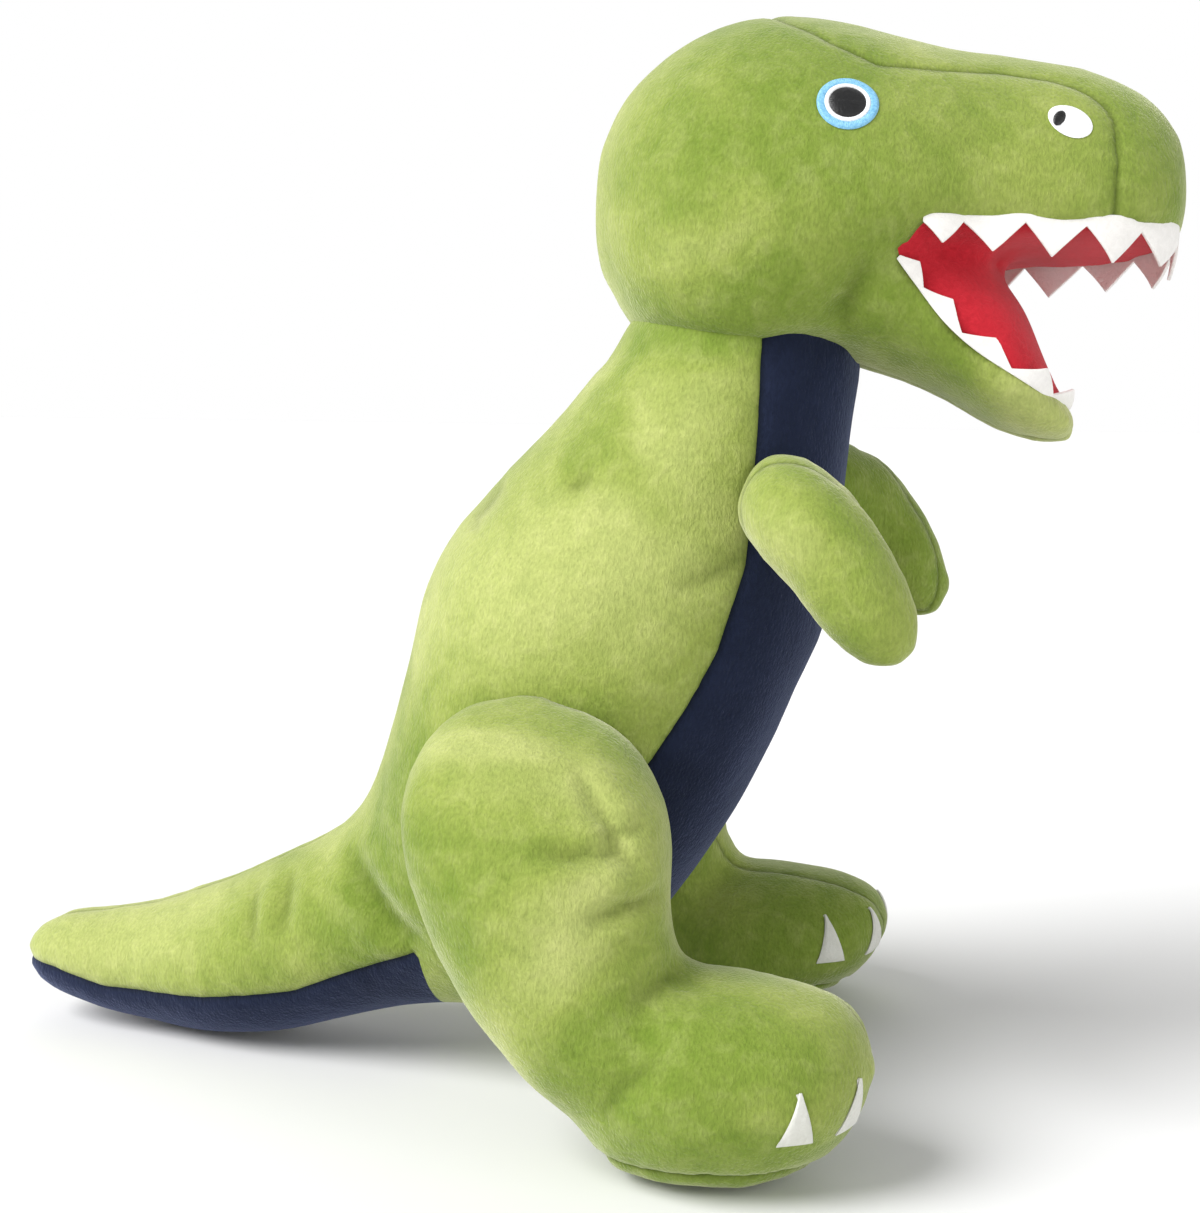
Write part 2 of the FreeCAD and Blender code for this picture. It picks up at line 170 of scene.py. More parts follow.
# Painted light and shade by zones: how much paler (or darker, below 0), and the ranges of x and z over which
# that comes in; paler on the back and the head's top, darker on the feet, the snout's front and under the
# head.
PAINTED_LIGHT_ZONES = (
    (-0.16, (0.0, 0.03), (0.07, 0.045)),
    (-0.07, (0.15, 0.172), (0.2, 0.22)),
    (0.075, (0.06, 0.03), (0.12, 0.16)),
    (-0.165, (0.13, 0.1), (0.225, 0.24)),
    (0.03, (0.13, 0.1), (0.25, 0.27)),
    (0.065, (0.13, 0.1), (0.285, 0.31)),
    (-0.06, (-0.08, -0.06), (0.12, 0.1)),
    (0.09, (-0.05, -0.075), (0.12, 0.1)),
)


def with_painted_light_and_shade(tree, where, noise_value):
    """Painted light and shade on the pile: painted darker on the feet and the snout, and paler on the back and
    flanks.
    """
    parts = tree.nodes.new("ShaderNodeSeparateXYZ")
    tree.links.new(where, parts.inputs["Vector"])
    # Each zone adds its painted light (or painted shade, below 0) to the brushed noise.
    for shift, x_range, z_range in PAINTED_LIGHT_ZONES:
        share = product(tree, (between(tree, parts.outputs["X"], *x_range),
                               between(tree, parts.outputs["Z"], *z_range), shift))
        noise_value = maths(tree, "ADD", noise_value, share)
    return noise_value


def plush(name, dark, middle, light, sheen, weight):
    """Short pile: brushed patches, clumps of pile a few millimetres wide and single fibre tips."""
    made, tree, shader = material(name, Roughness=0.92, Sheen_Weight=weight, Sheen_Roughness=0.42,
                                  Sheen_Tint=(*sheen, 1), Specular_IOR_Level=0.12)
    where = add(tree, "ShaderNodeTexCoord").outputs["Object"]
    brushed = textured(tree, "ShaderNodeTexNoise", 13, where, Detail=2.0, Roughness=0.45, Distortion=0.7)
    clumps = textured(tree, "ShaderNodeTexNoise", 130, where, Detail=4.0, Roughness=0.65, Distortion=0.4)
    stretch = add(tree, "ShaderNodeMapping")
    stretch.inputs["Scale"].default_value = (1.0, 1.0, 0.45)
    tree.links.new(where, stretch.inputs["Vector"])
    tips = textured(tree, "ShaderNodeTexNoise", 1150, stretch.outputs["Vector"], Detail=2.0, Roughness=0.6)
    # The broad patches carry the painted light and shade of the zones above.
    broad = ramp(tree, with_painted_light_and_shade(tree, where, brushed.outputs["Fac"]),
                 ((0.38, dark), (0.5, middle), (0.64, light)))
    speckled = ramp(tree, clumps.outputs["Fac"], ((0.3, dark), (0.5, middle), (0.7, light)))
    colour = blend_colours(tree, broad, speckled, 0.3)
    grain = ramp(tree, tips.outputs["Fac"], ((0.3, (0.72, 0.72, 0.72)), (0.7, (1.0, 1.0, 1.0))))
    colour = blend_colours(tree, colour, grain, 0.8, "MULTIPLY")
    # Painted shade: the seam attribute darkens the pile in seams, in folds and where a limb lies against the
    # body.
    stitched = add(tree, "ShaderNodeAttribute", attribute_name="seam").outputs["Fac"]
    shade = ramp(tree, stitched, ((0.0, (1.0, 1.0, 1.0)), (1.0, (0.3, 0.34, 0.2))))
    colour = blend_colours(tree, colour, shade, 1.0, "MULTIPLY")
    tree.links.new(colour, shader.inputs["Base Color"])
    bumps(tree, shader, ((clumps.outputs["Fac"], 0.5, 0.0012), (tips.outputs["Fac"], 0.6, 0.0007)))
    return made


def felt(name, dark, light, sheen):
    """Pressed felt: matted fibres in every direction."""
    made, tree, shader = material(name, Roughness=0.95, Sheen_Weight=sheen, Sheen_Roughness=0.5,
                                  Specular_IOR_Level=0.15)
    where = add(tree, "ShaderNodeTexCoord").outputs["Object"]
    matted = textured(tree, "ShaderNodeTexNoise", 420, where, Detail=6.0, Roughness=0.75, Distortion=1.4)
    broad = textured(tree, "ShaderNodeTexNoise", 38, where, Detail=2.0, Roughness=0.5)
    fine = ramp(tree, matted.outputs["Fac"], ((0.32, dark), (0.66, light)))
    wide = ramp(tree, broad.outputs["Fac"], ((0.3, dark), (0.6, light)))
    tree.links.new(blend_colours(tree, fine, wide, 0.4), shader.inputs["Base Color"])
    bumps(tree, shader, ((matted.outputs["Fac"], 0.6, 0.0005),))
    return made


def thread(name, colour, shade, gloss):
    """Satin-stitch embroidery: the threads themselves are in the mesh."""
    made, tree, shader = material(name, Roughness=gloss, Sheen_Weight=0.15, Specular_IOR_Level=0.45)
    where = add(tree, "ShaderNodeTexCoord").outputs["Object"]
    fibres = textured(tree, "ShaderNodeTexNoise", 1500, where, Detail=3.0, Roughness=0.6)
    strands = ramp(tree, fibres.outputs["Fac"], ((0.3, shade), (0.65, colour)))
    tree.links.new(strands, shader.inputs["Base Color"])
    bumps(tree, shader, ((fibres.outputs["Fac"], 0.4, 0.0002),))
    return made


MATERIALS = {
    GREEN: plush(GREEN, (0.165, 0.25, 0.03), (0.295, 0.365, 0.076), (0.48, 0.525, 0.178),
                 (1.0, 1.0, 0.75), 0.55),
    NAVY: plush(NAVY, (0.0075, 0.0115, 0.028), (0.0115, 0.017, 0.041), (0.018, 0.025, 0.057),
                (0.5, 0.58, 0.95), 0.32),
    "red_felt": felt("red_felt", (0.36, 0.008, 0.016), (0.56, 0.021, 0.035), 0.12),
    "white_felt": felt("white_felt", (0.74, 0.72, 0.69), (0.88, 0.86, 0.83), 0.2),
    "claw_felt": felt("claw_felt", (0.58, 0.58, 0.52), (0.74, 0.74, 0.69), 0.2),
    "blue_thread": thread("blue_thread", (0.26, 0.56, 0.78), (0.12, 0.36, 0.58), 0.45),
    "white_thread": thread("white_thread", (0.92, 0.92, 0.92), (0.72, 0.73, 0.75), 0.5),
    "black_thread": thread("black_thread", (0.006, 0.006, 0.007), (0.002, 0.002, 0.002), 0.38),
}


# ---------------------------------------------------------------- the head's own frame

HEAD_AXIS = JOINTS["head_turn"]["pos_m"]
ROLL = Matrix.Rotation(radians(-11), 3, "X")
NECK = Vector(HEAD_AXIS)
HINGE = NECK + ROLL.transposed() @ (Vector(JOINTS["jaw_open"]["pos_m"]) - NECK)
SLOPE = radians(41.3)
AHEAD = Vector((cos(SLOPE), 0, -sin(SLOPE)))
ABOVE = Vector((sin(SLOPE), 0, cos(SLOPE)))


def in_head(point):
    """A point of the row frame, in the head's frame before the head leans."""
    return NECK + ROLL.transposed() @ (Vector(point) - NECK)


def from_head(point):
    return NECK + ROLL @ (Vector(point) - NECK)


def in_jaw(point):
    """Distance ahead of the hinge along the jaw, sideways, and above the jaw's slope."""
    gap = in_head(point) - HINGE
    return Vector((gap.dot(AHEAD), gap.y, gap.dot(ABOVE)))


def from_jaw(point):
    return from_head(HINGE + AHEAD * point[0] + Vector((0, point[1], 0)) + ABOVE * point[2])


# ---------------------------------------------------------------- meshes

def new_object(name, mesh):
    item = bpy.data.objects.new(name, mesh)
    bpy.context.scene.collection.objects.link(item)
    return item


def coordinates(mesh):
    values = np.empty(len(mesh.vertices) * 3, np.float32)
    mesh.vertices.foreach_get("co", values)
    return values.reshape(-1, 3).astype(float)


def set_coordinates(mesh, values):
    mesh.vertices.foreach_set("co", np.asarray(values, np.float32).ravel())
    mesh.update()


def normals(mesh):
    values = np.empty(len(mesh.vertices) * 3, np.float32)
    mesh.vertex_normals.foreach_get("vector", values)
    return values.reshape(-1, 3).astype(float)


def applied(item):
    """Replace an object's mesh by the one its modifiers make."""
    shown = item.evaluated_get(bpy.context.evaluated_depsgraph_get())
    mesh = bpy.data.meshes.new_from_object(shown)
    item.modifiers.clear()
    item.data = mesh
    return item


def neighbours(mesh):
    edges = np.empty(len(mesh.edges) * 2, np.int32)
    mesh.edges.foreach_get("vertices", edges)
    return edges.reshape(-1, 2)


def smoothed(mesh, values, rounds, share=0.5):
    """Laplacian smoothing of one value, or one row of values, per vertex."""
    edges = neighbours(mesh)
    count = np.bincount(edges.ravel(), minlength=len(mesh.vertices)).astype(float)
    values = np.array(values, float)
    flat = values.ndim == 1
    if flat:
        values = values[:, None]
    share = np.asarray(share, float).reshape(-1, 1)
    for _ in range(rounds):
        total = np.zeros_like(values)
        np.add.at(total, edges[:, 0], values[edges[:, 1]])
        np.add.at(total, edges[:, 1], values[edges[:, 0]])
        values = values + share * (total / np.maximum(count, 1)[:, None] - values)
    return values[:, 0] if flat else values


def volume(name, solids, grow, shrink=0.0):
    """One closed mesh round some CAD fillings, grown a little so that they join up, and then shrunk again."""
    grown = bmesh.new()
    for solid in solids:
        part = bmesh.new()
        part.from_mesh(NODES[solid].data)
        bmesh.ops.remove_doubles(part, verts=part.verts, dist=2e-5)
        bmesh.ops.recalc_face_normals(part, faces=part.faces)
        for vertex in part.verts:
            vertex.co += vertex.normal * grow
        held = bpy.data.meshes.new("held")
        part.to_mesh(held)
        part.free()
        grown.from_mesh(held)
        bpy.data.meshes.remove(held)
    mesh = bpy.data.meshes.new(name)
    grown.to_mesh(mesh)
    grown.free()
    item = new_object(name, mesh)
    remesh = item.modifiers.new("Remesh", "REMESH")
    remesh.mode = "VOXEL"
    remesh.voxel_size = VOXEL
    applied(item)
    set_coordinates(item.data, smoothed(item.data, coordinates(item.data), 5))
    set_coordinates(item.data, coordinates(item.data) - normals(item.data) * shrink)
    return item


def surface_of(mesh):
    return BVHTree.FromPolygons([v.co for v in mesh.vertices], [p.vertices for p in mesh.polygons])


TREES = {}


def tree_of(node):
    if node not in TREES:
        TREES[node] = surface_of(NODES[node].data)
    return TREES[node]


def distance(node, point):
    return tree_of(node).find_nearest(point)[3]


def puff(item, held, cap, pressure=4.0):
    """Fill an object like a cushion: its seams are held, and no point moves further than the cap."""
    before = coordinates(item.data)
    group = item.vertex_groups.new(name="seams")
    for index, weight in enumerate(held):
        if weight > 0.02:
            group.add([index], float(weight), "REPLACE")
    cloth = item.modifiers.new("Cloth", "CLOTH")
    cloth.settings.quality = 4
    cloth.settings.mass = 0.25
    cloth.settings.tension_stiffness = 12
    cloth.settings.compression_stiffness = 12
    cloth.settings.shear_stiffness = 4
    cloth.settings.bending_stiffness = 0.4
    cloth.settings.use_pressure = True
    cloth.settings.uniform_pressure_force = pressure
    cloth.settings.vertex_group_mass = "seams"
    cloth.settings.effector_weights.gravity = 0
    cloth.collision_settings.use_collision = False
    cloth.point_cache.frame_start = 1
    cloth.point_cache.frame_end = FRAMES
    for number in range(1, FRAMES + 1):
        bpy.context.scene.frame_set(number)
    applied(item)
    moved = coordinates(item.data) - before
    length = np.linalg.norm(moved, axis=1, keepdims=True)
    moved *= np.minimum(1, cap / np.maximum(length, 1e-9))
    moved = smoothed(item.data, moved, 3)
    set_coordinates(item.data, before + moved)
    bpy.context.scene.frame_set(1)


def subdivided(item):
    finer = item.modifiers.new("Finer", "SUBSURF")
    finer.levels = 1
    finer.render_levels = 1
    return applied(item)


SNAP = 0.22


def panels(item, labels, score):
    """Cut a mesh where its nearest panel changes, and give each face the number of its panel.
    A vertex that is nearer to the cut than SNAP of its edge moves onto it; any other edge is split."""
    points = coordinates(item.data)
    table = []
    for point in points:
        row = score(Vector(point))
        table.append([row[label] for label in labels])
    table = smoothed(item.data, np.array(table), 2)
    nearest = table.argmin(axis=1)
    work = bmesh.new()
    work.from_mesh(item.data)
    work.verts.ensure_lookup_table()
    owner = {vertex: {int(nearest[vertex.index])} for vertex in work.verts}
    seam = set()
    shares = []
    for edge in work.edges:
        first, second = edge.verts
        a, b = int(nearest[first.index]), int(nearest[second.index])
        if a != b:
            start = table[first.index, b] - table[first.index, a]
            stop = table[second.index, a] - table[second.index, b]
            share = start / max(start + stop, 1e-12)
            close, far = (first, second) if share < 0.5 else (second, first)
            shares.append((min(share, 1 - share), close, far, edge, share, a, b))
    shares.sort(key=lambda row: row[0])
    placed = set()
    for near, close, far, _, _, a, b in shares:
        if near < SNAP and close not in placed and far not in placed:
            close.co = close.co.lerp(far.co, near)
            placed.add(close)
            seam.add(close)
            owner[close] |= {a, b}
    for _, _, _, edge, share, a, b in shares:
        first, second = edge.verts
        if first in placed or second in placed:
            continue
        vertex = bmesh.utils.edge_split(edge, first, min(max(share, 0.05), 0.95))[1]
        owner[vertex] = {a, b}
        seam.add(vertex)
    for face in list(work.faces):
        corners = [vertex for vertex in face.verts if vertex in seam]
        if len(corners) < 2:
            continue
        for first in corners:
            done = False
            for second in corners:
                if first is second or any(second in edge.verts for edge in first.link_edges):
                    continue
                bmesh.utils.face_split(face, first, second)
                done = True
                break
            if done:
                break
    label = work.faces.layers.int.new("panel")
    for face in work.faces:
        inner = [vertex for vertex in face.verts if vertex not in seam]
        if inner:
            votes = [int(nearest[vertex.index]) for vertex in inner]
            face[label] = max(set(votes), key=votes.count)
        else:
            shared = set.intersection(*(owner[vertex] for vertex in face.verts))
            if len(shared) == 1:
                face[label] = shared.pop()
            else:
                row = score(face.calc_center_median())
                face[label] = int(np.argmin([row[name] for name in labels]))
    mesh = bpy.data.meshes.new(item.name)
    work.to_mesh(mesh)
    work.free()
    item.data = mesh
    return item


def seam_points(item, pairs):
    """The vertices where any of some pairs of panels meet."""
    mesh = item.data
    label = mesh.attributes["panel"].data
    touching = {}
    for polygon in mesh.polygons:
        number = label[polygon.index].value
        for vertex in polygon.vertices:
            touching.setdefault(vertex, set()).add(number)
    return [vertex for vertex, numbers in touching.items() if any(set(pair) <= numbers for pair in pairs)]


def shade(item, amounts):
    """Keep how deep in a seam or a fold each vertex lies, for the material to paint shade on the pile there.
    """
    mesh = item.data
    layer = mesh.attributes.get("seam") or mesh.attributes.new("seam", "FLOAT", "POINT")
    values = np.zeros(len(mesh.vertices), np.float32)
    layer.data.foreach_get("value", values)
    layer.data.foreach_set("value", np.maximum(values, np.asarray(amounts, np.float32)))


def groove(item, seams, depth, width, pucker, dark=0.75):
    """Pull a seam in between its panels, with the small puckers that stitching makes beside it, and paint
    shade along the seam line.
    """
    if not seams:
        return
    points = coordinates(item.data)
    facing = normals(item.data)
    finder = KDTree(len(seams))
    for vertex in seams:
        finder.insert(points[vertex], vertex)
    finder.balance()
    amounts = np.zeros(len(points))
    for index, point in enumerate(points):
        gap = finder.find(point)[2]
        if gap > 6 * width:
            continue
        # Painted shade along the seam line, as much as dark.
        amounts[index] = dark * exp(-(gap / 0.0009) ** 2)
        push = -depth * exp(-((gap / width) ** 1.3))
        ripple = noise.noise(Vector(point) * 210) * exp(-gap / (2.6 * width)) * min(1, gap / width)
        points[index] += facing[index] * (push + pucker * ripple)
    set_coordinates(item.data, points)
    shade(item, amounts)


SWELL = 0.45
# How strong the painted shade in a fold's valley is.
FOLD_PAINTED_SHADE = 0.5


def crease(item, path, side, depth, width):
    """A fold drawn in the side view, where the cloth faces that side: a valley between two soft swellings,
    with painted shade in the valley.
    """
    points = coordinates(item.data)
    facing = normals(item.data)
    flat = points[:, (0, 2)]
    path = np.array(path, float)
    lengths = np.linalg.norm(np.diff(path, axis=0), axis=1)
    best = np.full(len(points), 1e9)
    along = np.zeros(len(points))
    run = 0.0
    for start, stop, length in zip(path[:-1], path[1:], lengths):
        way = (stop - start) / length
        share = np.clip((flat - start) @ way, 0, length)
        gap = np.linalg.norm(flat - (start + share[:, None] * way), axis=1)
        closer = gap < best
        best[closer] = gap[closer]
        along[closer] = (run + share[closer]) / lengths.sum()
        run += length
    taper = np.clip(np.sin(along * pi), 0, 1) ** 0.6 * np.clip(3 * facing[:, 1] * side, 0, 1)
    valley = np.exp(-(best / width) ** 2)
    banks = np.exp(-((best - 2.1 * width) / width) ** 2)
    push = depth * (SWELL * banks - valley)
    set_coordinates(item.data, points + facing * (push * taper)[:, None])
    # Painted shade in the fold's valley.
    shade(item, FOLD_PAINTED_SHADE * np.exp(-(best / (0.55 * width)) ** 2) * taper)


# Folds in millimetres ahead of and above a joint: side (-1 right, 1 left, 0 both), points, depth and width.
RUMP_FOLDS = (
    (-1, ((-52, 25), (-44, 17), (-32, 5), (-22, -1)), 2.6, 4.5),
    (-1, ((-75, 14), (-74, 6), (-74, -5)), 1.6, 3.5),
    (-1, ((-88, 8), (-86, 0), (-85, -10)), 0.9, 3.0),
    (1, ((-47, 28), (-39, 16), (-29, 2)), 2.4, 4.5),
    (1, ((-77, 14), (-77, 5), (-77, -6)), 1.4, 3.5),
)
BACK_FOLDS = (
    (-1, ((-82, -54), (-83, -48), (-74, -38)), 1.6, 4.2),
    (-1, ((-50, -38), (-41, -34)), 1.1, 3.8),
    (0, ((9, -54), (-5, -62), (-17, -66)), 0.8, 4.0),
)
LEG_FOLDS = (
    (0, ((13, 26), (24, 12), (28, 5), (35, -5)), 1.4, 2.2),
    (0, ((5, 5), (18, 3), (32, 3)), 2.4, 2.6),
    (0, ((21, -15), (33, -11), (43, -10)), 2.6, 3.0),
    (0, ((25, 8), (35, 9)), 1.2, 2.6),
    (0, ((33, -39), (43, -33), (54, -34)), 1.4, 3.6),
    (0, ((25, -71), (32, -59), (43, -51)), 0.9, 4.5),
)
CHEEK_FOLDS = (
    (0, ((-18, -10), (-18, -22)), 0.9, 3.0),
    (0, ((-10, 0), (-16, -12), (-23, -19)), 1.2, 5.0),
)


def folds(item, table, joint, only=0):
    """Press a table of folds into a mesh; only is the one side that it has, if it has just one."""
    origin = JOINTS[joint]["pos_m"]
    for side, path, depth, width in table:
        spots = [(origin[0] + ahead * 0.001, origin[2] + above * 0.001) for ahead, above in path]
        for way in (-1, 1):
            if side in (0, way) and only in (0, way):
                crease(item, spots, way, depth * 0.001, width * 0.001)


def lumps(item, layers, seed):
    """Uneven filling: low swellings and hollows, as (amplitude, size) pairs."""
    points = coordinates(item.data)
    facing = normals(item.data)
    shift = Vector((seed * 3.1, seed * 1.7, seed * 0.9))
    for index, point in enumerate(points):
        push = sum(height * noise.noise(Vector(point) / size + shift) for height, size in layers)
        points[index] += facing[index] * push
    set_coordinates(item.data, points)


def grounded(item):
    """Flatten what would pass below the ground."""
    points = coordinates(item.data)
    points[:, 2] = np.maximum(points[:, 2], 0)
    set_coordinates(item.data, points)


def thickened(piece, thickness, offset=-1):
    """Give a surface its thickness: inward, or to both sides when the offset is 0."""
    solid = piece.modifiers.new("Thickness", "SOLIDIFY")
    solid.thickness = thickness
    solid.offset = offset
    return applied(piece)


def split(item, labels, slots):
    """Make one closed piece of fabric out of each panel of a mesh."""
    mesh = item.data
    label = mesh.attributes["panel"].data
    made = {}
    for number, name in enumerate(labels):
        work = bmesh.new()
        work.from_mesh(mesh)
        work.faces.ensure_lookup_table()
        away = [work.faces[p.index] for p in mesh.polygons if label[p.index].value != number]
        bmesh.ops.delete(work, geom=away, context="FACES")
        for vertex in [vertex for vertex in work.verts if not vertex.link_faces]:
            work.verts.remove(vertex)
        piece_mesh = bpy.data.meshes.new(name)
        work.to_mesh(piece_mesh)
        work.free()
        piece = thickened(new_object(name + "_cloth", piece_mesh), FABRIC)
        finish_piece(piece, slots[name])
        made[name] = piece
    bpy.data.objects.remove(item)
    return made


def finish_piece(piece, slot):
    piece.data.materials.clear()
    piece.data.materials.append(MATERIALS[slot])
    for polygon in piece.data.polygons:
        polygon.use_smooth = True
        polygon.material_index = 0
    for spare in ("panel", "sharp_face", "sharp_edge"):
        if spare in piece.data.attributes:
            piece.data.attributes.remove(piece.data.attributes[spare])
    piece.data.set_sharp_from_angle(angle=radians(48))
    return piece


# ---------------------------------------------------------------- body and tail

TRUNK = ("body_side_panel_right", "body_side_panel_left", "belly_panel",
         "tail_side_panel_right", "tail_side_panel_left", "tail_under_panel")


def trunk_score(point):
    return {name: distance(name, point) for name in TRUNK}


def held_at_seams(item, labels, score, width):
    """How firmly each vertex is held: fully on a seam, less beside it."""
    points = coordinates(item.data)
    held = []
    for point in points:
        row = sorted(score(Vector(point)).values())
        held.append(exp(-((row[1] - row[0]) / width) ** 2))
    return held


# The hollows above and below the tail's root, in the row frame: place, reach and rounds of smoothing.
ROOT_FILLETS = (((-0.052, 0.004, 0.085), 0.034, 60), ((-0.048, 0.002, 0.014), 0.036, 90))
NECK_RISE = 0.009


def build_trunk():
    item = volume("trunk", ("body_filling", "tail_filling"), 0.0026, 0.0014)
    for root, reach, rounds in ROOT_FILLETS:
        points = coordinates(item.data)
        near = np.exp(-(np.linalg.norm(points - np.array(root), axis=1) / reach) ** 2)
        set_coordinates(item.data, smoothed(item.data, points, rounds, near * 0.9))
    points = coordinates(item.data)
    axis = np.array(JOINTS["head_turn"]["axis"])
    high = np.clip(((points - np.array(NECK)) @ axis + NECK_RISE) / 0.006, 0, 1)
    set_coordinates(item.data, points + axis * (high * NECK_RISE)[:, None])
    puff(item, held_at_seams(item, TRUNK, trunk_score, 0.004), 0.0035)
    subdivided(item)
    lumps(item, ((0.0014, 0.055), (0.0006, 0.022)), 1)
    folds(item, RUMP_FOLDS, "tail_wag")
    folds(item, BACK_FOLDS, "head_turn")
    panels(item, TRUNK, trunk_score)
    groove(item, seam_points(item, ((0, 2), (1, 2), (3, 5), (4, 5))), 0.0012, 0.0024, 0.0006)
    groove(item, seam_points(item, ((0, 1), (3, 4))), 0.0008, 0.002, 0.0005)
    grounded(item)
    surface = surface_of(item.data)
    slots = {name: NAVY if name in ("belly_panel", "tail_under_panel") else GREEN for name in TRUNK}
    made = split(item, TRUNK, slots)
    for name, piece in made.items():
        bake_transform(piece)
        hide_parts(name)
    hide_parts("body_filling")
    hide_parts("tail_filling")
    return surface


# ---------------------------------------------------------------- head and jaw

# The lower lip's height above the jaw's slope, against the distance ahead of the hinge.
LIP = ((-0.01, -0.004), (0.0, -0.006), (0.015, -0.0087), (0.029, -0.0125), (0.042, -0.0105), (0.062, -0.005),
       (0.068, -0.001), (0.08, 0.0))
HEAD = ("head_side_panel_right", "head_side_panel_left", "head_top_gusset",
        "mouth_lining_upper", "mouth_lining_lower")
# Half the width of the top gusset, against x in the head's frame.
GUSSET = ((0.058, -0.006), (0.066, 0.017), (0.072, 0.027), (0.086, 0.036), (0.1, 0.038), (0.118, 0.032),
          (0.135, 0.025), (0.15, 0.0235), (0.16, 0.0248), (0.168, 0.027), (0.1705, 0.0295), (0.173, 0.06))


# Where the lining stops at the corner of the mouth: z against x in the head's frame.
MOUTH_CORNER = ((0.107, 0.251), (0.1155, 0.2635), (0.12, 0.28))


def outline_at(outline, place):
    return float(np.interp(place, *zip(*outline)))


def head_score(point):
    spot = in_head(point)
    green = min(distance(name, point) for name in
                ("head_side_panel_right", "head_side_panel_left", "head_top_gusset", "chin_panel"))
    over = abs(spot.y) - outline_at(GUSSET, spot.x)
    jaw = in_jaw(point)
    lower = jaw.z < 0.0 and distance("mouth_lining_upper", point) > 0.004
    if lower:
        over = 0.03
    lining = distance("mouth_lining_lower", point)
    if lower and jaw.x > -0.002:
        gap = jaw.z - outline_at(LIP, jaw.x)
        lining = green = min(green, lining)
        lining += max(0, -gap)
        green += max(0, gap)
    corner = max(0, spot.z - outline_at(MOUTH_CORNER, spot.x))
    return {
        "head_top_gusset": green + max(0, over),
        "head_side_panel_right": green + max(0, -over) + max(0, spot.y),
        "head_side_panel_left": green + max(0, -over) + max(0, -spot.y),
        "mouth_lining_upper": distance("mouth_lining_upper", point) + 1.5 * corner,
        "mouth_lining_lower": lining,
    }


def ordered_loop(points, angle_of, count, level=0):
    """Points sorted by an angle, smoothed, and spread evenly along the line they make; level is how many
    more rounds of smoothing their height gets."""
    points = sorted(points, key=angle_of)
    line = np.array(points, float)
    for number in range(30 + level):
        middle = 0.25 * line[:-2] + 0.5 * line[1:-1] + 0.25 * line[2:]
        free = slice(0, 3) if number < 30 else slice(2, 3)
        line[1:-1, free] = middle[:, free]
    steps = np.concatenate([[0], np.cumsum(np.linalg.norm(np.diff(line, axis=0), axis=1))])
    even = np.linspace(0, steps[-1], count)
    return np.stack([np.interp(even, steps, line[:, axis]) for axis in range(3)], axis=1), steps[-1]


UPPER_TOOTH = 0.0172
LOWER_TOOTH = 0.0165
STEPS = 12
ROWS = 7


def tooth_strip(name, line, up, centre, teeth, height, band, front):
    """A felt strip with pointed teeth along a lip, standing up from the line and away from a centre.
    It reaches a band below the line, and is wider round the front of the mouth, by the value front."""
    columns = teeth * STEPS
    widths = np.ones(teeth)
    widths[0] = widths[-1] = 0.66
    bounds = np.concatenate([[0], np.cumsum(widths)]) / widths.sum()
    work = bmesh.new()
    grid = []
    length = len(line) - 1
    for number in range(columns + 1):
        place = float(np.interp(number / STEPS, range(teeth + 1), bounds)) * length
        low = min(int(place), length - 1)
        spot = Vector(line[low]).lerp(Vector(line[low + 1]), place - low)
        share = number / STEPS % 1
        tall = height * (1 - abs(2 * share - 1)) * (0.93 + 0.07 * cos(number // STEPS * 2.3))
        tall *= 0.45 + 0.55 * min(1, min(number, columns - number) / 20)
        tall += front * sin(pi * place / length) ** 3
        away = flat_out(spot, centre, up)
        column = []
        for row in range(ROWS):
            reach = -band + (tall + band + 0.0003) * row / (ROWS - 1)
            lean = -0.0011 * (max(reach, 0) / height) ** 2 + 0.0006 * sin(number * 0.35)
            column.append(work.verts.new(spot + up * reach + away * (0.0015 + lean)))
        grid.append(column)
    for first, second in zip(grid[:-1], grid[1:]):
        for row in range(ROWS - 1):
            work.faces.new((first[row], second[row], second[row + 1], first[row + 1]))
    mesh = bpy.data.meshes.new(name)
    work.to_mesh(mesh)
    work.free()
    piece = thickened(new_object(name + "_cloth", mesh), FELT, 0)
    soft = piece.modifiers.new("Soft", "BEVEL")
    soft.width = 0.00025
    soft.segments = 2
    soft.limit_method = "ANGLE"
    applied(piece)
    return finish_piece(piece, "white_felt")


def near_jowl(point):
    """1 where the jaw joins the head below the mouth's corner, falling to 0 round it."""
    spot = in_head(point)
    aside = (abs(spot.y) - 0.036) / 0.02
    away = np.hypot(spot.x - 0.098, spot.z - 0.243) / 0.024
    return exp(-aside ** 2 - away ** 2)


